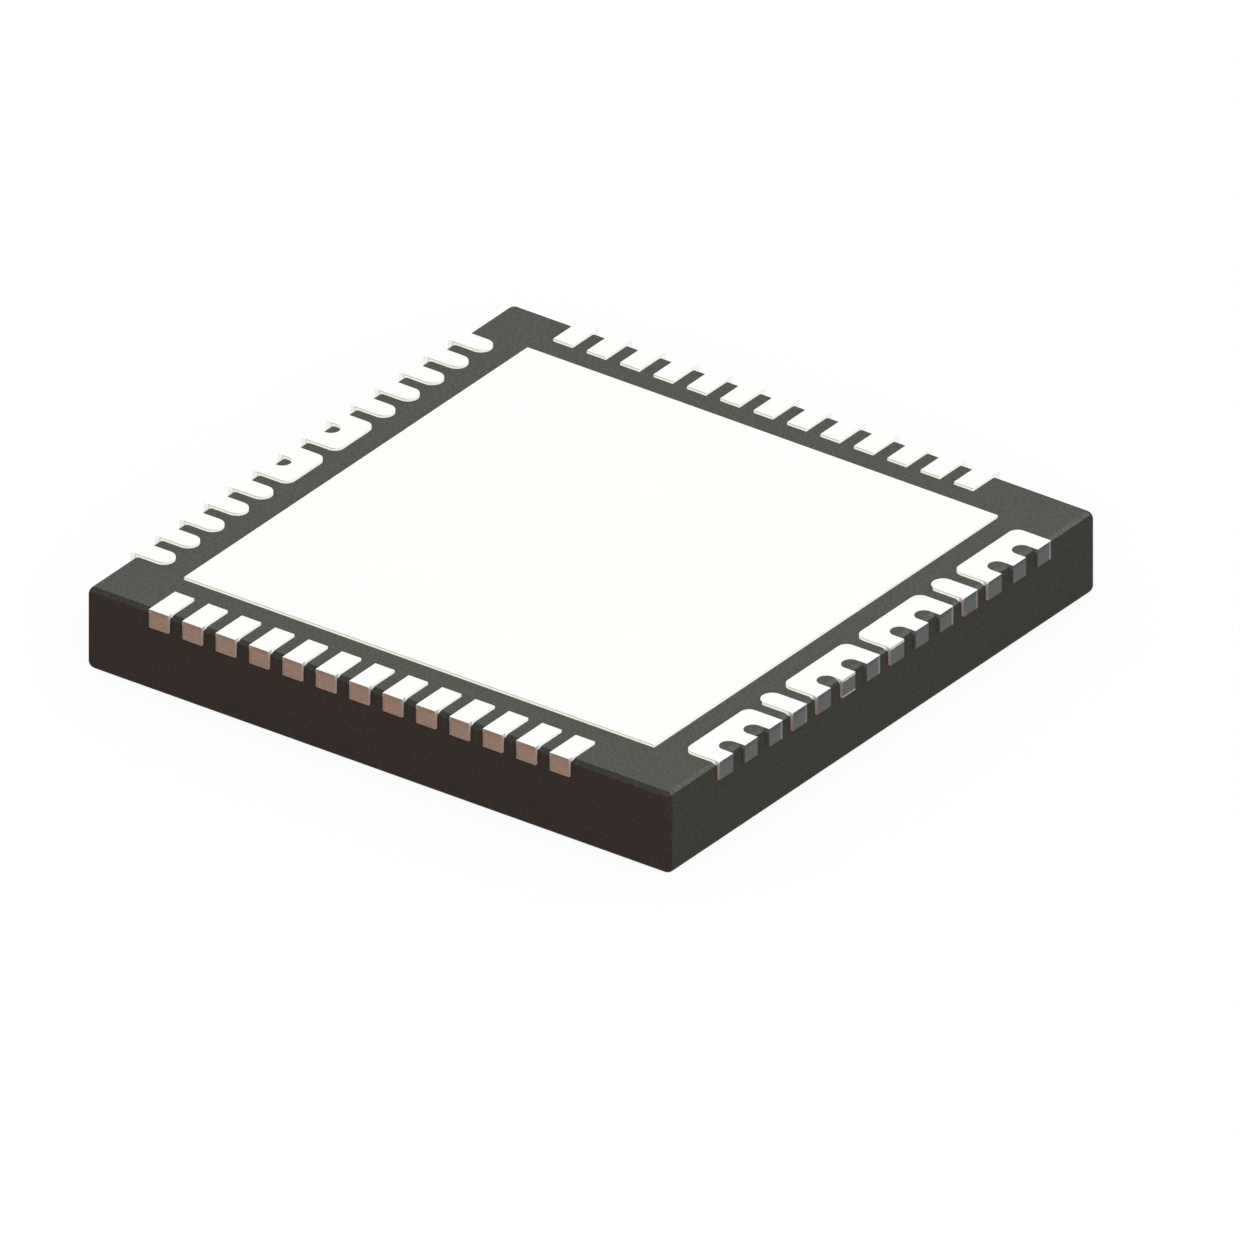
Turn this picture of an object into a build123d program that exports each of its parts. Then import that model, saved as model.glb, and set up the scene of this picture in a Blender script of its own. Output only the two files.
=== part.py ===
"""QFN package, 7 x 7 mm, 0.4 mm pitch, lying on its moulded top with its pads up.

The moulded top rests on z = 0 and the lead faces look up. Seen from above, the front row
is at -Y, the back row at +Y, the left column at -X and the right column at +X.
"""
from build123d import *
import os

os.makedirs("parts", exist_ok=True)

# Moulded body
body_side = 7.0
body_height = 0.9
body_edge_radius = 0.085      # of all its edges
dimple_radius = 0.25
dimple_depth = 0.04
dimple_inset = 0.7            # from the two side walls of its corner to its centre

# Leadframe
frame_thickness = 0.2
etch_depth = 0.1              # half-etched steps keep this much less than the full thickness
standoff = 0.03               # lead faces above the body
lead_pitch = 0.4
lead_width = 0.23
land_length = 0.43
lead_protrusion = 0.03        # lead ends beyond the side walls
corner_margin = 0.9           # least distance, body corner to the middle of the nearest place
slack = 0.001                 # of a pitch, so that a row of exactly that length isn't cut short
tip_reach = 0.07              # buried tip beyond the land
inner_corner_radius = 0.1     # of merged lands
right_single_reach = 0.02     # the right column's single lands reach this much further in
notch_width = 0.19
notch_depth = 0.22
plug_edge_radius = 0.09       # of the moulding in the notches, at its outer edge
pad_gap = 0.285               # thermal pad to the lands
pad_ledge = 0.06              # buried ledge round the thermal pad
tie_bar_width = 0.12
tie_bar_setback = 0.2         # the bars end this far inside the side walls

# Silicon die and its bond to the paddle
die_side = 4.2
die_thickness = 0.2
attach_thickness = 0.02
attach_margin = 0.05

# Bond wires
wire_radius = 0.025
wire_side_count = 5           # few, because there are many wires
bond_edge_inset = 0.08        # die edge to the middle of its bond pads
bond_corner_margin = 0.475    # die corner to the nearest bond
stitch_inset = 0.05           # land's inner end to the middle of the stitch
loop_height = 0.15

# Levels, counted up from the moulded top that the package rests on
land_face = body_height + standoff
bond_face = land_face - frame_thickness
die_seat = bond_face - attach_thickness
die_face = die_seat - die_thickness
loop_top = die_face - loop_height

# Places along each row, and the distances from the package's middle
half_side = body_side / 2
places = 1 + int((body_side - 2 * corner_margin) / lead_pitch + slack)
land_outer = half_side + lead_protrusion
land_inner = land_outer - land_length
pad_side = 2 * (land_inner - pad_gap)
bond_row = half_side - (die_side / 2 - bond_edge_inset)
bond_pitch = (die_side - 2 * bond_corner_margin) / (places - 1)
stitch_row = land_length - lead_protrusion - stitch_inset


def place(number):
    """How far a place of a row is from the row's middle, in pitches."""
    return number - (places - 1) / 2


def merged(counts):
    """First place and place count of each lead, from how many places each takes along a row.

    A count of 0 is an empty place. Places past the end of the counts hold single leads.
    """
    first = 0
    for count in counts + [1] * places:
        if count and first + count <= places:
            yield first, count
        first += max(count, 1)


def row_plane(turn, along=0.0):
    """Level plane on a side wall's line: X runs along the row and Y runs into the package."""
    return Plane(Rotation(0, 0, turn) * Pos(along, -half_side))


def lead(plane, count, rounded, extra_reach=0.0):
    """One lead: its full-height land, and the half-etched tip that runs on into the moulding."""
    width = lead_width + (count - 1) * lead_pitch
    outer = -lead_protrusion
    inner = outer + land_length + extra_reach
    radius = 0.0
    if rounded:
        radius = lead_width / 2 if count == 1 else inner_corner_radius
    tip_start = inner - lead_width / 2 - tip_reach
    tip_end = inner + tip_reach
    with BuildPart() as piece:
        with BuildSketch(plane.offset(bond_face)):
            with Locations((0, (outer + inner - radius) / 2)):
                Rectangle(width, inner - radius - outer)
            if rounded:
                with Locations((0, inner - radius)):
                    if count == 1:
                        Circle(radius)
                    else:
                        SlotOverall(width, 2 * radius)
            if count > 1:
                with Locations((0, outer)):
                    with GridLocations(lead_pitch, 0, count - 1, 1):
                        SlotOverall(2 * notch_depth, notch_width, rotation=90, mode=Mode.SUBTRACT)
        extrude(amount=frame_thickness)
        with BuildSketch(plane.offset(bond_face)):
            with Locations((0, (tip_start + tip_end) / 2)):
                Rectangle(width, tip_end - tip_start)
        extrude(amount=frame_thickness - etch_depth)
    return piece


# Rows of leads. The front and back rows leave out their place at the +X end.
rows = {
    "front": dict(turn=0, counts=[1] * 13 + [0], rounded=False),
    "right": dict(turn=90, counts=[3, 1, 3, 3, 1, 3], rounded=True),
    "back": dict(turn=180, counts=[0] + [1] * 13, rounded=False),
    "left": dict(turn=270, counts=[1] * 5 + [2, 2] + [1] * 5, rounded=True),
}
leads = []
for side, row in rows.items():
    for number, (first, count) in enumerate(merged(row["counts"]), start=1):
        middle = place(first + (count - 1) / 2) * lead_pitch
        reach = right_single_reach if side == "right" and count == 1 else 0.0
        piece = lead(row_plane(row["turn"], middle), count, row["rounded"], reach)
        piece.part.label = f"lead_{side}_{number:02d}"
        export_step(piece.part, f"parts/{piece.part.label}.step")
        leads.append(piece)

# Die paddle: its upper face is the thermal pad, and its ledge and tie bars are half-etched
tie_bar_end = (half_side - tie_bar_setback) * 2 ** 0.5
with BuildPart() as thermal_pad:
    with BuildSketch(Plane.XY.offset(bond_face)):
        Rectangle(pad_side, pad_side)
    extrude(amount=frame_thickness)
    with BuildSketch(Plane.XY.offset(bond_face)):
        Rectangle(pad_side + 2 * pad_ledge, pad_side + 2 * pad_ledge)
        for turn in (45, 135):
            Rectangle(2 * tie_bar_end, tie_bar_width, rotation=turn)
    extrude(amount=frame_thickness - etch_depth)
thermal_pad.part.label = "thermal_pad"
export_step(thermal_pad.part, "parts/thermal_pad.step")

# Die attach layer, a little wider than the die
with BuildPart() as die_attach:
    with BuildSketch(Plane.XY.offset(die_seat)):
        Rectangle(die_side + 2 * attach_margin, die_side + 2 * attach_margin)
    extrude(amount=attach_thickness)
die_attach.part.label = "die_attach"
export_step(die_attach.part, "parts/die_attach.step")

# Silicon die, its circuit face away from the paddle
with BuildPart() as silicon_die:
    with BuildSketch(Plane.XY.offset(die_face)):
        Rectangle(die_side, die_side)
    extrude(amount=die_thickness)
silicon_die.part.label = "silicon_die"
export_step(silicon_die.part, "parts/silicon_die.step")


def wire_corners(number):
    """Corners of one wire's loop in its row's plane: off the die, and down the slope past the land."""
    bond = Vector(place(number) * bond_pitch, bond_row)
    stitch = Vector(place(number) * lead_pitch, stitch_row)
    past = stitch + (stitch - bond) * (2 * wire_radius / (bond_face - loop_top))
    levels = (die_face, loop_top, bond_face + 2 * wire_radius)
    return [(at.X, at.Y, level) for at, level in zip((bond, bond, past), levels)]


# Bond wires: a neck up from the die, and a long slope to the stitch on the lead's face
wires = []
for side, row in rows.items():
    plane = row_plane(row["turn"])
    with BuildPart() as loops:
        for first, count in merged(row["counts"]):
            for number in range(first, first + count):
                with BuildLine(plane) as path:
                    Polyline(*wire_corners(number))
                with BuildSketch(Plane(origin=path.line @ 0, z_dir=path.line % 0)):
                    RegularPolygon(wire_radius, wire_side_count)
                sweep(path=path.line, transition=Transition.RIGHT)
        split(bisect_by=Plane.XY.offset(bond_face), keep=Keep.BOTTOM)
    loops.part.label = f"wires_{side}"
    export_step(loops.part, f"parts/{loops.part.label}.step")
    wires.append(loops)

# Moulded body, cast round everything inside it. It fills the right column's notches flush
# with the lead faces.
right = row_plane(rows["right"]["turn"])
with BuildPart() as mould_body:
    with BuildSketch():
        Rectangle(body_side, body_side)
    extrude(amount=body_height)
    fillet(mould_body.edges(), radius=body_edge_radius)
    for first, count in merged(rows["right"]["counts"]):
        fingers = [place(first + step) * lead_pitch for step in range(count)]
        for near, far in zip(fingers, fingers[1:]):
            with BuildSketch(right.offset(body_height - body_edge_radius)):
                with Locations(((near + far) / 2, notch_depth / 2)):
                    Rectangle(lead_pitch - lead_width / 2, notch_depth)
            extrude(amount=body_edge_radius + standoff)
    plug_rims = mould_body.edges().group_by(Axis.Z)[-1].filter_by(Axis.Y)
    fillet(plug_rims.group_by(Axis.X)[-1], radius=plug_edge_radius)
    with BuildSketch():
        with Locations((dimple_inset - half_side, dimple_inset - half_side)):
            Circle(dimple_radius)
    extrude(amount=dimple_depth, mode=Mode.SUBTRACT)
    for piece in leads + [thermal_pad, die_attach, silicon_die] + wires:
        add(piece.part, mode=Mode.SUBTRACT)
mould_body.part.label = "mould_body"
export_step(mould_body.part, "parts/mould_body.step")
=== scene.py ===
"""Looks for the flat no-lead chip package, which lies pads up on a pale floor."""
import math

import bpy
from mathutils import Matrix, Vector

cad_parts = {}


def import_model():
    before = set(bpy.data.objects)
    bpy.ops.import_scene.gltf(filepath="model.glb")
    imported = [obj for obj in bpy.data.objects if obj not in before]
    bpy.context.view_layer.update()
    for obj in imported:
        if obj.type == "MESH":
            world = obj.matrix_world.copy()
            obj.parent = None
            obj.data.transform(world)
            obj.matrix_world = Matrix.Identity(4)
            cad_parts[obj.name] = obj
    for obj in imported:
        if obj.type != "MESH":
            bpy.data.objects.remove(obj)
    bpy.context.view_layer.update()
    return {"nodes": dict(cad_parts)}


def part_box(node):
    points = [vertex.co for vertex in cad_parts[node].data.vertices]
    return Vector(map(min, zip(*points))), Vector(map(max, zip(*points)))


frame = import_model()

MM = 0.001
PER_MM = 1000.0


def box_mm(node, axis):
    """Lowest and highest place of a CAD node along an axis, in millimetres."""
    return [corner[axis] * PER_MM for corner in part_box(node)]


# Sizes that the materials follow, in millimetres
STANDOFF = 0.03
LAND_FACE = box_mm("thermal_pad", 2)[1]
BODY_FACE = LAND_FACE - STANDOFF
SIDE_WALL = box_mm("mould_body", 0)[1]
LEAD_FOOT = box_mm("lead_front_01", 2)[0]
FIRST_LEAD = box_mm("lead_front_01", 0)
LEAD_WIDTH = FIRST_LEAD[1] - FIRST_LEAD[0]
LEAD_PITCH = box_mm("lead_front_02", 0)[0] - FIRST_LEAD[0]

# Number that a place in the middle of a row would have. The first place is number 0.
MIDDLE_PLACE = -sum(FIRST_LEAD) / 2 / LEAD_PITCH

# Plating, in millimetres
PLATING_FOOT = BODY_FACE - 0.020                       # it ends a little below the moulding's face,
SIDE_PLATING_FOOT = LAND_FACE - 0.13                   # and here on the left and back leads
PLATING_FADE = 0.006                                   # height over which it ends
LIFT_FADE = 0.010                                      # height over which its normals start to lift
WALL_LIFT = 1.2                                        # upward part added to a wall's unit normal

# Bands in which the leads' finish changes, in millimetres, from where to where
WALL_SHADE_LINE = (LAND_FACE - 0.012, LAND_FACE - 0.008)     # painted shade line on the standoff walls, below their rounded top edge
UPPER_CORNER = (LAND_FACE - 0.024, LAND_FACE - 0.012)  # painted highlight on the sides' upper corner, beside the ends, plain white on the left and back leads
ODD_HIGHLIGHT_BAND = (LAND_FACE - 0.034, LAND_FACE - 0.026)      # painted highlight on the rounded upper edge of the odd ends
BURR = (LAND_FACE - 0.046, LAND_FACE - 0.036)          # upper corner of the ends' borders
FOOT_EDGE = (LEAD_FOOT + 0.012, LEAD_FOOT + 0.016)     # lower edge of the end with a bright foot
END_FACE = (SIDE_WALL, SIDE_WALL + 0.020)              # out here the outward faces are sawn ends
BESIDE_END = (SIDE_WALL - 0.006, SIDE_WALL - 0.001)    # where the bare sides come out
WHITE_SIDE = (SIDE_WALL - 0.034, SIDE_WALL - 0.030)    # where the white plating begins
TIN_REFLECTION_BAND = (SIDE_WALL - 0.036, SIDE_WALL - 0.020)       # where a painted grey reflection covers the other plating
BORDER = (0.008 - LEAD_WIDTH / 2, 0.030 - LEAD_WIDTH / 2)   # of an end, from its middle

# Lines on the leads, in millimetres: the middle, and half the width
WHITE_SIDE_LINE = (SIDE_WALL - 0.032, 0.006)
SHINE_LINE = (LEAD_WIDTH / 2 - 0.021, 0.010)           # from an end's middle
ODD_SIDE_REACH = 0.03                                  # half the width, beside an odd end

# How much a surface faces a way, as a part of its unit normal, from not enough to enough
FACES_PLUS_X = (0.35, 0.75)
FACES_OUT = (0.6, 0.8)
FACES_ALONG = (0.3, 0.6)
TIN_LEVEL = (0.4, 0.6)
MOULDING_LEVEL = (0.06, 0.14)
CORNER_SHIFT = 2.5                                     # a corner that faces X so much more than Y
CORNER_BAND = (-0.03, 0.03)                            # has the colour of a wall that faces X

# Noises: the spans of their values that colour and roughness follow
SHADE_SPAN = (0.25, 0.75)
ROUGH_SPAN = (0.2, 0.8)
FLAKE_SPAN = (0.0, 0.8)
SPECKLE_SPAN = (0.3, 0.6)
DOT_RIM = (0.10, 0.03)                                 # a dot fills the middle of its cell

# Noises: their scale on each axis, which draws streaks out level
WALL_STREAKS = (0.12, 0.12, 1.0)
SAW_STREAKS = (0.10, 0.10, 1.0)

# Shares of a lead's width, from 0 to 1 along its row
LAST_EDGE = (0.88, 0.90)                               # its last finger's far edge begins here
BETWEEN_SIDES = (0.5, 0.46)                            # all but its outer sides: middle and reach

# Shares in which colours are mixed in
DOT_SHARE = 0.10
TIN_REFLECTION_SHARE = 0.85
SHINE_SHARE = 0.28
BORDER_SHARE = 0.8
BURR_SHARE = 0.6
FOOT_SHARE = 0.8
ODD_HIGHLIGHT_SHARES = (0.5, 1.0)                           # from one to the other with the speckle

# Camera: a parallel view from the package's front right corner, its angles in degrees
VIEW_TURN = 36.16
VIEW_HEIGHT = 29.27
IMAGE_SIDE = 1240
PIXELS_PER_MM = 103.4
PAD_MIDDLE_AT = (590.85, 546.05)      # in pixels from the picture's top left
CAMERA_DISTANCE = 60 * MM
CLIP_NEAR = 0.1 * MM
CLIP_FAR = 1.0

# Light: the sky and the key together bring about 1 to the faces that the camera sees
SKY = 0.60
KEY_STRENGTH = 1.88
KEY_SPREAD = 50.0                     # degrees
KEY_FROM = (0.55, -0.60, 0.58)
BACKGROUND = 1.0
FLOOR_COLOUR = (0.80, 0.80, 0.79, 1)
FLOOR_SIDE = 0.6
FLOOR_DROP = 0.0005 * MM              # below the package, so that no two faces coincide
FLOOR_GLOW = 0.86                     # share of plain white in the floor that the camera sees
FLOOR_WHITE = 1.04                    # with the lit floor's own share, this comes to 1


# Node helpers
class Nodes:
    """A material's node tree, with short calls for the nodes that these materials use.

    place is a point's place in millimetres, and x, y and z are its parts. facing is the way
    that the surface faces, and nx, ny and nz are the same in the piece's own axes. share_x,
    share_y and share_z go from 0 to 1 across the piece.
    """

    def __init__(self, name):
        self.material = bpy.data.materials.new(name)
        self.material.use_nodes = True
        self.tree = self.material.node_tree
        self.shader = self.tree.nodes["Principled BSDF"]
        where = self.tree.nodes.new("ShaderNodeTexCoord")
        self.place = self.vector("MULTIPLY", where.outputs["Object"], (PER_MM, PER_MM, PER_MM))
        self.x, self.y, self.z = self.split(self.place)
        self.nx, self.ny, self.nz = self.split(where.outputs["Normal"])
        self.share_x, self.share_y, self.share_z = self.split(where.outputs["Generated"])
        self.facing = self.tree.nodes.new("ShaderNodeNewGeometry").outputs["Normal"]

    def put(self, socket, value):
        """Links an output to the socket, or sets plain numbers on it."""
        if isinstance(value, bpy.types.NodeSocket):
            self.tree.links.new(value, socket)
        elif socket.type == "VECTOR":
            socket.default_value = value[:3]
        else:
            socket.default_value = value

    def split(self, vector):
        node = self.tree.nodes.new("ShaderNodeSeparateXYZ")
        self.put(node.inputs[0], vector)
        return node.outputs[0], node.outputs[1], node.outputs[2]

    def vector(self, operation, a, b=(0, 0, 0)):
        node = self.tree.nodes.new("ShaderNodeVectorMath")
        node.operation = operation
        self.put(node.inputs[0], a)
        self.put(node.inputs[1], b)
        return node.outputs[0]

    def math(self, operation, a, b=0.0, c=0.0):
        node = self.tree.nodes.new("ShaderNodeMath")
        node.operation = operation
        for socket, value in zip(node.inputs, (a, b, c)):
            self.put(socket, value)
        return node.outputs[0]

    def size(self, a):
        return self.math("ABSOLUTE", a)

    def ramp(self, value, low, high, to_low=0.0, to_high=1.0):
        """value, from low to high, taken to to_low to to_high and held there outside."""
        node = self.tree.nodes.new("ShaderNodeMapRange")
        node.clamp = True
        for socket, number in zip(node.inputs, (value, low, high, to_low, to_high)):
            self.put(socket, number)
        return node.outputs[0]

    def both(self, *masks):
        """Product of masks and plain factors."""
        product = masks[0]
        for mask in masks[1:]:
            product = self.math("MULTIPLY", product, mask)
        return product

    def most(self, a, b):
        return self.math("MAXIMUM", a, b)

    def less(self, a, b):
        return self.math("SUBTRACT", a, b)

    def other(self, mask):
        return self.less(1.0, mask)

    def near(self, value, middle, reach):
        """1 where value is within reach of middle, and 0 elsewhere."""
        return self.math("COMPARE", value, middle, reach)

    def mix(self, factor, a, b):
        node = self.tree.nodes.new("ShaderNodeMix")
        node.data_type = "RGBA"
        self.put(node.inputs["Factor"], factor)
        colours = [s for s in node.inputs if s.type == "RGBA"]
        self.put(colours[0], a)
        self.put(colours[1], b)
        return [s for s in node.outputs if s.type == "RGBA"][0]

    def noise(self, scale, detail=2.0, roughness=0.5, stretch=(1, 1, 1)):
        """Noise of about 0 to 1. scale is in cycles per millimetre."""
        node = self.tree.nodes.new("ShaderNodeTexNoise")
        self.put(node.inputs["Vector"], self.vector("MULTIPLY", self.place, stretch))
        node.inputs["Scale"].default_value = scale
        node.inputs["Detail"].default_value = detail
        node.inputs["Roughness"].default_value = roughness
        return node.outputs[0]

    def cells(self, scale):
        """Distance from the middle of irregular cells. scale is in cells per millimetre."""
        node = self.tree.nodes.new("ShaderNodeTexVoronoi")
        self.put(node.inputs["Vector"], self.place)
        node.inputs["Scale"].default_value = scale
        return node.outputs["Distance"]

    def rough(self, value, low, high):
        """Roughness from low to high as the noise value changes."""
        return self.ramp(value, *ROUGH_SPAN, low, high)

    def shade(self, colour, value, amount):
        """colour made lighter or darker by up to amount as the noise value changes."""
        factor = self.ramp(value, *SHADE_SPAN, 1.0 - amount, 1.0 + amount)
        return self.vector("MULTIPLY", colour, self.grey(factor))

    def grey(self, value):
        node = self.tree.nodes.new("ShaderNodeCombineXYZ")
        for socket in node.inputs:
            self.put(socket, value)
        return node.outputs[0]

    def bump(self, height, strength, distance, facing=None):
        node = self.tree.nodes.new("ShaderNodeBump")
        node.inputs["Strength"].default_value = strength
        node.inputs["Distance"].default_value = distance
        self.put(node.inputs["Height"], height)
        if facing:
            self.put(node.inputs["Normal"], facing)
        self.tree.links.new(node.outputs[0], self.shader.inputs["Normal"])

    def finish(self, colour, roughness, metallic=0.0, specular=0.5):
        self.put(self.shader.inputs["Base Color"], colour)
        self.put(self.shader.inputs["Roughness"], roughness)
        self.put(self.shader.inputs["Metallic"], metallic)
        self.put(self.shader.inputs["Specular IOR Level"], specular)
        return self.material


def linear(red, green, blue):
    """A colour given in 0 to 255 display values, as the shader wants it."""
    def one(value):
        value = value / 255
        return value / 12.92 if value <= 0.04045 else ((value + 0.055) / 1.055) ** 2.4
    return one(red), one(green), one(blue), 1.0


def leaning(degrees):
    """How far up a surface faces that leans by so many degrees from level."""
    return math.cos(math.radians(degrees))


def place_middle(number):
    """Where the middle of a row's place is along the row, in millimetres."""
    return (number - MIDDLE_PLACE) * LEAD_PITCH


# Colours of the moulding: its face, and painted light and shade on its rounded edges and walls
FACE = linear(86, 87, 81)
PAINTED_EDGE_HIGHLIGHT = linear(92, 93, 88)
PAINTED_EDGE_AND_WALL_SHADE = linear(54, 53, 47)
PAINTED_WARM_WALL_SHADE = linear(46, 38, 34)
FILLER_DOT = linear(150, 148, 140)

# Colours of the plating, with painted shade on its walls except those that face +X, and a painted
# reflection near the sawn ends
TIN = linear(254, 254, 252)
SHADED_TIN_WALL = linear(253, 255, 240)
TIN_WALL_SHADE_LINE = linear(200, 203, 187)
LIT_TIN_WALL_TO_X = linear(252, 252, 248)
WHITE_TIN = linear(253, 253, 251)
WHITE_TIN_LINE = linear(170, 171, 162)
PAINTED_REFLECTION_TIN = linear(176, 179, 184)

# Colours of the bare metal beside and on the sawn ends; the grey of the left and right columns'
# copper ends is a painted cool reflection
COPPER = linear(147, 121, 106)
COPPER_SIDE = linear(174, 150, 138)
COOL_REFLECTION_END = linear(94, 96, 95)
LEFT_SIDE = linear(147, 120, 110)
RIGHT_SIDE = linear(150, 125, 115)
SHADED_SIDE = linear(57, 55, 50)
NOTCH_SIDE = linear(66, 65, 61)
SHINE = linear(200, 200, 194)
BORDER_METAL = linear(126, 109, 103)
BURR_METAL = linear(172, 169, 165)
ODD_EDGE_HIGHLIGHT = linear(222, 216, 204)
FOOT_METAL = linear(186, 192, 192)

# Colours of the sides' upper corner beside the sawn ends: painted highlights on the front and right
# leads, plain white on the others
FRONT_CORNER_HIGHLIGHT = linear(204, 205, 210)
RIGHT_CORNER_HIGHLIGHT = linear(226, 225, 220)
WHITE_RIM = linear(252, 252, 250)

# Colours inside the moulding
SILICON = linear(126, 128, 136)
SILVER_EPOXY = linear(172, 170, 164)
COPPER_WIRE = linear(214, 142, 104)


# Materials
def moulding():
    """Filled epoxy with fine grain. Painted light and shade: faces lightest, walls darker, and
    those facing +-Y a brown, warm painted shade.
    """
    n = Nodes("moulding_compound")
    grain = n.noise(30, detail=4, roughness=0.75)
    speck = n.noise(70, roughness=0.6)
    cloud = n.noise(3.2, detail=3)
    streaks = n.noise(30, stretch=WALL_STREAKS)
    # Painted light and shade: the rounded edges change colour part of the way down, with a painted
    # highlight band on those towards X and a painted shade band on those towards Y
    flat = n.ramp(n.size(n.nz), leaning(15), leaning(10))
    upper_x = n.ramp(n.nz, leaning(50), leaning(44))
    upper_y = n.ramp(n.nz, leaning(59), leaning(52))
    to_x = n.ramp(n.less(n.size(n.nx), n.both(n.size(n.ny), CORNER_SHIFT)), *CORNER_BAND)
    # Painted highlight and shade on the walls that face X, painted shade and warm painted shade on
    # those that face Y
    shaded_wall_x = n.mix(upper_x, PAINTED_EDGE_AND_WALL_SHADE, PAINTED_EDGE_HIGHLIGHT)
    shaded_wall_y = n.mix(upper_y, PAINTED_WARM_WALL_SHADE, PAINTED_EDGE_AND_WALL_SHADE)
    colour = n.mix(flat, n.mix(to_x, shaded_wall_y, shaded_wall_x), FACE)
    colour = n.shade(colour, grain, 0.42)
    colour = n.shade(colour, speck, 0.40)
    colour = n.shade(colour, cloud, 0.025)
    upright = n.ramp(n.size(n.nz), *MOULDING_LEVEL, 1.0, 0.0)
    colour = n.mix(upright, colour, n.shade(colour, streaks, 0.05))
    dots = n.ramp(n.cells(26), *DOT_RIM)
    colour = n.mix(n.both(dots, DOT_SHARE), colour, FILLER_DOT)
    n.bump(grain, strength=0.35, distance=0.0016 * MM)
    return n.finish(colour, n.rough(grain, 0.72, 0.86), specular=0.12)


def tin(n, foot=PLATING_FOOT):
    """Matte tin: near white above, and on the standoff walls a painted cream shade below a painted
    grey shade line, as of a rounded top edge.

    The walls that face +X are painted white, as lit. All its walls shine as rounded plating does,
    because their normals are lifted from the level foot up.
    Gives the colour, the grain, how upright the surface is, and the lifted normal.
    """
    grain = n.noise(55, detail=3, roughness=0.6)
    cloud = n.noise(1.3)
    upright = n.ramp(n.size(n.nz), *TIN_LEVEL, 1.0, 0.0)
    # Painted shade: cream walls with a grey shade line, and the walls that face +X painted white as
    # lit
    wall = n.mix(n.ramp(n.z, *WALL_SHADE_LINE), SHADED_TIN_WALL, TIN_WALL_SHADE_LINE)
    wall = n.mix(n.ramp(n.nx, *FACES_PLUS_X), wall, LIT_TIN_WALL_TO_X)
    colour = n.mix(upright, TIN, wall)
    colour = n.shade(colour, grain, 0.012)
    colour = n.shade(colour, cloud, 0.006)
    lift = n.both(upright, n.ramp(n.z, foot, foot + LIFT_FADE), WALL_LIFT)
    lifted = n.vector("ADD", n.facing, n.vector("MULTIPLY", n.grey(lift), (0, 0, 1)))
    return colour, grain, upright, n.vector("NORMALIZE", lifted)


def matte_metal(n, colour, grain, lifted, metallic=1.0):
    """Finishes a material with the relief and roughness of matte tin."""
    n.bump(grain, strength=0.25, distance=0.0010 * MM, facing=lifted)
    return n.finish(colour, n.rough(grain, 0.40, 0.52), metallic=metallic)


def thermal_pad():
    n = Nodes("thermal_pad_tin")
    colour, grain, _, lifted = tin(n)
    return matte_metal(n, colour, grain, lifted)


def sawn_end(n, end, along, share, notches, odd, bright_foot):
    """Colour of a row's sawn ends: level saw marks and speckle on end, and each end's edges, with a
    painted highlight on the upper edges of the odd ends.

    along is where a point is along the row, and share where it is across its lead.
    """
    marks = n.noise(34, detail=3, roughness=0.6, stretch=SAW_STREAKS)
    speckle = n.noise(45, detail=3, roughness=0.7)
    colour = n.shade(n.shade(end, marks, 0.07), speckle, 0.24)
    half_place = LEAD_PITCH / 2
    from_middle = n.math("WRAP", n.math("ADD", along, half_place), half_place, -half_place)
    if notches:
        shine = n.both(n.near(from_middle, *SHINE_LINE), n.ramp(share, *LAST_EDGE))
        colour = n.mix(n.both(shine, SHINE_SHARE), colour, SHINE)
    else:
        border = n.ramp(from_middle, *BORDER, 1.0, 0.0)
        colour = n.mix(n.both(border, BORDER_SHARE), colour, BORDER_METAL)
        burr = n.both(border, n.ramp(n.z, *BURR))
        colour = n.mix(n.both(burr, BURR_SHARE), colour, BURR_METAL)
    # Painted highlight on the rounded upper edge of the odd ends
    for number in odd:
        here = n.near(along, place_middle(number), half_place)
        uneven = n.ramp(speckle, *SPECKLE_SPAN, *ODD_HIGHLIGHT_SHARES)
        colour = n.mix(n.both(here, n.ramp(n.z, *ODD_HIGHLIGHT_BAND), uneven), colour, ODD_EDGE_HIGHLIGHT)
    if bright_foot:
        here = n.near(along, place_middle(bright_foot), half_place)
        foot = n.ramp(n.z, *FOOT_EDGE, FOOT_SHARE, 0.0)
        colour = n.mix(n.both(here, foot), colour, FOOT_METAL)
    return colour


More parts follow.
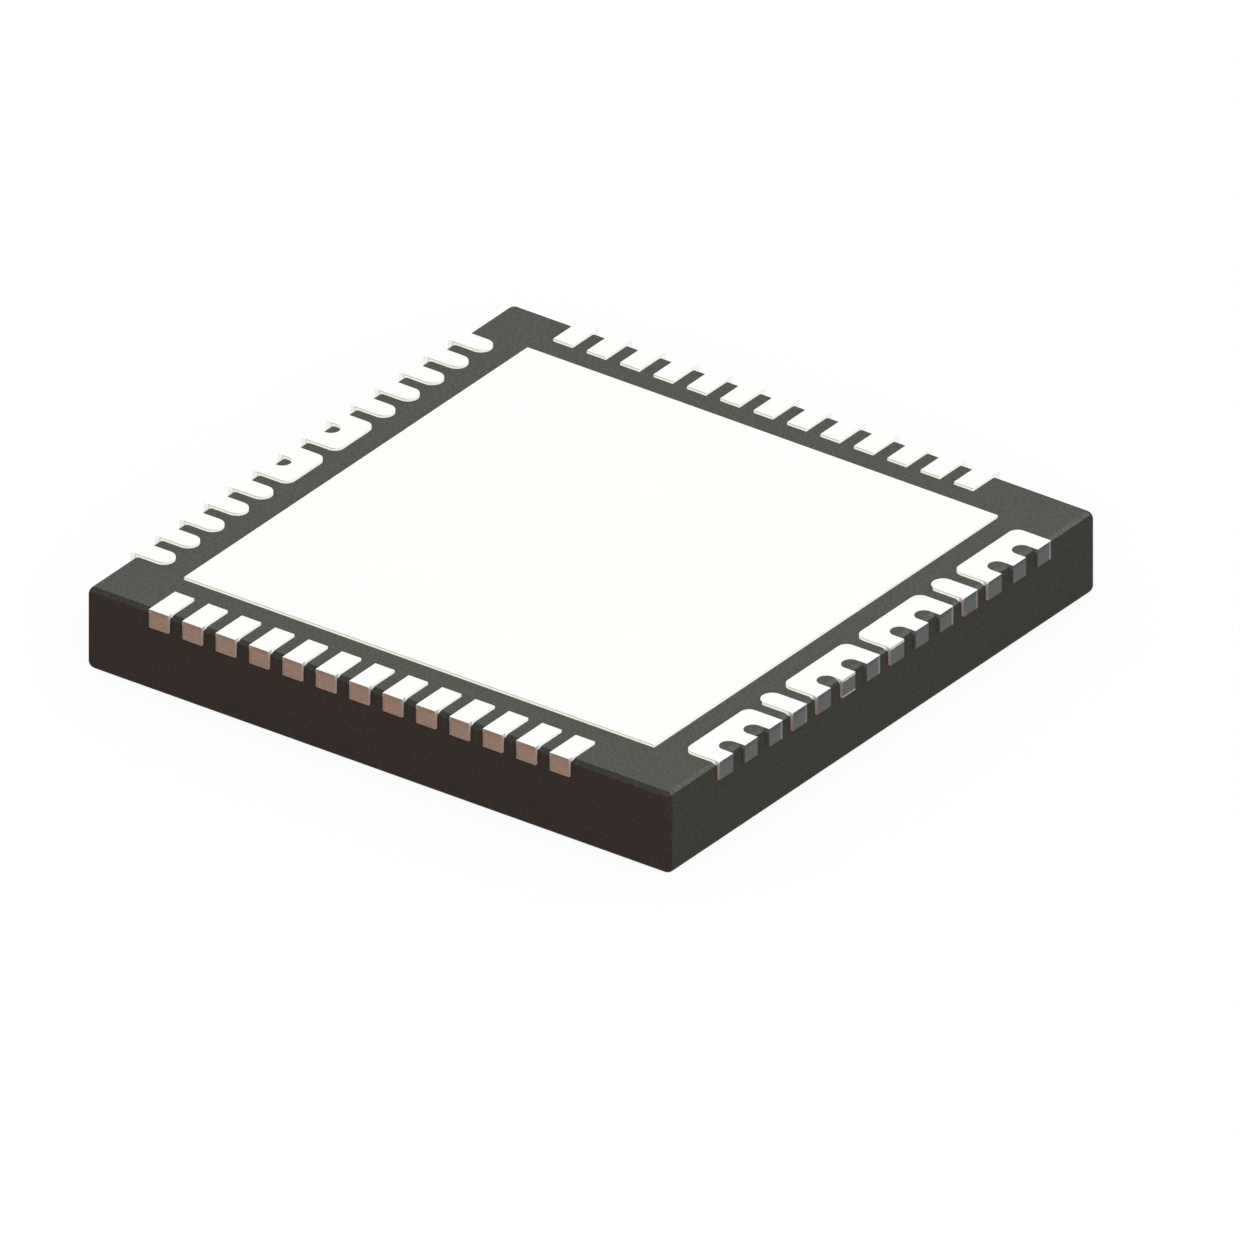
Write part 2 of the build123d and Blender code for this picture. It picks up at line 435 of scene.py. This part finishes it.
def lead(name, row_axis, out_axis, end, side, rim, foot=PLATING_FOOT, notches=None, odd=(),
         bright_foot=None):
    """Plated leads of a row that runs along one axis: tin above, bare metal at the sawn ends.

    end, side and rim colour the sawn ends, the sides beside them and the sides' upper corner
    there, where rim is a painted highlight on the front and right leads and plain white on the
    others; the grey of the left and right columns' ends is a painted cool reflection. foot is the
    level down to which the sides are plated. notches is "filled" for the column whose notches hold
    moulding and "open" for the other column. odd lists the places whose ends get a painted
    highlight on their upper edges, and bright_foot is the one whose lower edge is bright too.
    """
    n = Nodes(name)
    along, share = getattr(n, row_axis), getattr(n, "share_" + row_axis)
    facing_along = n.size(getattr(n, "n" + row_axis))
    out, facing_out = n.size(getattr(n, out_axis)), n.size(getattr(n, "n" + out_axis))
    to_end = n.both(n.ramp(facing_out, *FACES_OUT), n.ramp(out, *END_FACE))
    beside_end = n.ramp(out, *BESIDE_END)
    colour, grain, upright, lifted = tin(n, foot)
    low = n.ramp(n.z, foot, foot + PLATING_FADE, 1.0, 0.0)
    if foot < PLATING_FOOT:
        # White plating beside the end, with a grey line where it begins, except towards +X
        line = n.both(n.near(out, *WHITE_SIDE_LINE), n.other(n.ramp(n.nx, *FACES_PLUS_X)))
        white = n.both(upright, n.other(to_end), n.ramp(out, *WHITE_SIDE))
        colour = n.mix(white, colour, n.mix(line, WHITE_TIN, WHITE_TIN_LINE))
        unplated = low
    else:
        # Painted grey reflection on the plating towards the end, which stops beside it
        tin_reflection = n.both(upright, n.ramp(out, *TIN_REFLECTION_BAND, 0.0, TIN_REFLECTION_SHARE))
        colour = n.mix(tin_reflection, colour, n.shade(PAINTED_REFLECTION_TIN, grain, 0.15))
        unplated = n.most(low, beside_end)
    bare_side = n.mix(beside_end, SHADED_SIDE, n.shade(side, grain, 0.10))
    # Painted highlight on the sides' upper corner beside the ends, plain white on the left and back
    # leads
    upper_side = n.mix(n.ramp(n.z, *UPPER_CORNER), side, rim)
    bare_side = n.mix(n.other(low), bare_side, upper_side)
    if notches == "filled":
        inner = n.both(n.near(share, *BETWEEN_SIDES), n.ramp(facing_along, *FACES_ALONG))
        for number in odd:
            odd_side = place_middle(number) - LEAD_WIDTH / 2
            inner = n.both(inner, n.other(n.near(along, odd_side, ODD_SIDE_REACH)))
        bare_side = n.mix(inner, bare_side, NOTCH_SIDE)
        unplated = n.most(unplated, inner)
    bare_end = sawn_end(n, end, along, share, notches, odd, bright_foot)
    bare = n.both(upright, n.most(unplated, to_end))
    colour = n.mix(bare, colour, n.mix(to_end, bare_side, bare_end))
    return matte_metal(n, colour, grain, lifted, n.most(n.other(bare), to_end))


def silicon():
    n = Nodes("polished_silicon")
    fine = n.noise(12, detail=3)
    n.bump(fine, strength=0.1, distance=0.0005 * MM)
    colour = n.shade(SILICON, fine, 0.05)
    return n.finish(colour, n.rough(fine, 0.14, 0.22), metallic=1.0)


def die_attach():
    n = Nodes("silver_epoxy")
    flakes = n.cells(60)
    n.bump(flakes, strength=0.4, distance=0.0015 * MM)
    colour = n.shade(SILVER_EPOXY, flakes, 0.12)
    return n.finish(colour, n.ramp(flakes, *FLAKE_SPAN, 0.45, 0.65), metallic=0.6)


def bond_wire():
    n = Nodes("copper_wire")
    drawn = n.noise(50, detail=3)
    n.bump(drawn, strength=0.2, distance=0.0006 * MM)
    colour = n.shade(COPPER_WIRE, drawn, 0.06)
    return n.finish(colour, n.rough(drawn, 0.24, 0.34), metallic=1.0)


FINISHES = {
    "mould_body": moulding(),
    "thermal_pad": thermal_pad(),
    "silicon_die": silicon(),
    "die_attach": die_attach(),
    "wires": bond_wire(),
    "lead_front": lead("lead_metal_front", "x", "y", COPPER, COPPER_SIDE, FRONT_CORNER_HIGHLIGHT),
    "lead_back": lead("lead_metal_back", "x", "y", COPPER, COPPER_SIDE, WHITE_RIM,
                      SIDE_PLATING_FOOT),
    # Left and right columns: copper ends painted grey, as a cool painted reflection
    "lead_left": lead("lead_metal_left", "y", "x", COOL_REFLECTION_END, LEFT_SIDE, WHITE_RIM,
                      SIDE_PLATING_FOOT, notches="open"),
    "lead_right": lead("lead_metal_right", "y", "x", COOL_REFLECTION_END, RIGHT_SIDE, RIGHT_CORNER_HIGHLIGHT,
                       notches="filled", odd=(5, 7), bright_foot=5),
}
for name, node in frame["nodes"].items():
    finish = next(value for start, value in FINISHES.items() if name.startswith(start))
    node.data.materials.clear()
    node.data.materials.append(finish)


# Floor, light and camera
def seen_directly(tree):
    """1 for camera, glossy and transmission rays, and 0 for rays that carry diffuse light."""
    path = tree.nodes.new("ShaderNodeLightPath")
    total = path.outputs["Is Camera Ray"]
    for name in ("Is Glossy Ray", "Is Transmission Ray"):
        most = tree.nodes.new("ShaderNodeMath")
        most.operation = "MAXIMUM"
        tree.links.new(total, most.inputs[0])
        tree.links.new(path.outputs[name], most.inputs[1])
        total = most.outputs[0]
    return total


def floor():
    """A pale floor that the camera sees as nearly plain white, with the package's shadow."""
    mesh = bpy.data.meshes.new("floor")
    reach = FLOOR_SIDE / 2
    corners = [(-reach, -reach, 0), (reach, -reach, 0), (reach, reach, 0), (-reach, reach, 0)]
    mesh.from_pydata(corners, [], [(0, 1, 2, 3)])
    obj = bpy.data.objects.new("floor", mesh)
    obj.location.z = -FLOOR_DROP
    bpy.context.scene.collection.objects.link(obj)
    material = bpy.data.materials.new("floor")
    material.use_nodes = True
    tree = material.node_tree
    tree.nodes.clear()
    output = tree.nodes.new("ShaderNodeOutputMaterial")
    diffuse = tree.nodes.new("ShaderNodeBsdfDiffuse")
    diffuse.inputs["Color"].default_value = FLOOR_COLOUR
    glow = tree.nodes.new("ShaderNodeEmission")
    glow.inputs["Strength"].default_value = FLOOR_WHITE
    share = tree.nodes.new("ShaderNodeMath")
    share.operation = "MULTIPLY"
    tree.links.new(seen_directly(tree), share.inputs[0])
    share.inputs[1].default_value = FLOOR_GLOW
    blend = tree.nodes.new("ShaderNodeMixShader")
    tree.links.new(share.outputs[0], blend.inputs[0])
    tree.links.new(diffuse.outputs[0], blend.inputs[1])
    tree.links.new(glow.outputs[0], blend.inputs[2])
    tree.links.new(blend.outputs[0], output.inputs["Surface"])
    mesh.materials.append(material)


def world():
    """A white sky, brighter where it is seen than where it lights the package."""
    scene_world = bpy.data.worlds.new("studio")
    bpy.context.scene.world = scene_world
    scene_world.use_nodes = True
    tree = scene_world.node_tree
    background = tree.nodes["Background"]
    background.inputs["Color"].default_value = (1, 1, 1, 1)
    strength = tree.nodes.new("ShaderNodeMapRange")
    tree.links.new(seen_directly(tree), strength.inputs["Value"])
    strength.inputs["To Min"].default_value = SKY
    strength.inputs["To Max"].default_value = BACKGROUND
    tree.links.new(strength.outputs[0], background.inputs["Strength"])


def key_light():
    """A broad sun, which glossy rays don't see."""
    lamp = bpy.data.lights.new("key", "SUN")
    lamp.energy = KEY_STRENGTH
    lamp.angle = math.radians(KEY_SPREAD)
    obj = bpy.data.objects.new("key", lamp)
    obj.rotation_euler = Vector(KEY_FROM).to_track_quat("Z", "Y").to_euler()
    obj.visible_glossy = False
    bpy.context.scene.collection.objects.link(obj)


def camera():
    turn, height = math.radians(VIEW_TURN), math.radians(VIEW_HEIGHT)
    right = Vector((math.cos(turn), math.sin(turn), 0))
    back = Vector((math.sin(turn) * math.cos(height), -math.cos(turn) * math.cos(height),
                   math.sin(height)))
    up = back.cross(right)
    middle = IMAGE_SIDE / 2
    aim = Vector((0, 0, LAND_FACE * MM))
    aim += right * (middle - PAD_MIDDLE_AT[0]) / PIXELS_PER_MM * MM
    aim -= up * (middle - PAD_MIDDLE_AT[1]) / PIXELS_PER_MM * MM
    data = bpy.data.cameras.new("camera")
    data.type = "ORTHO"
    data.ortho_scale = IMAGE_SIDE / PIXELS_PER_MM * MM
    data.clip_start = CLIP_NEAR
    data.clip_end = CLIP_FAR
    obj = bpy.data.objects.new("camera", data)
    axes = Matrix((right, up, back)).transposed()
    obj.matrix_world = Matrix.Translation(aim + back * CAMERA_DISTANCE) @ axes.to_4x4()
    bpy.context.scene.collection.objects.link(obj)
    bpy.context.scene.camera = obj


floor()
world()
key_light()
camera()
bpy.context.scene.view_settings.view_transform = "Standard"
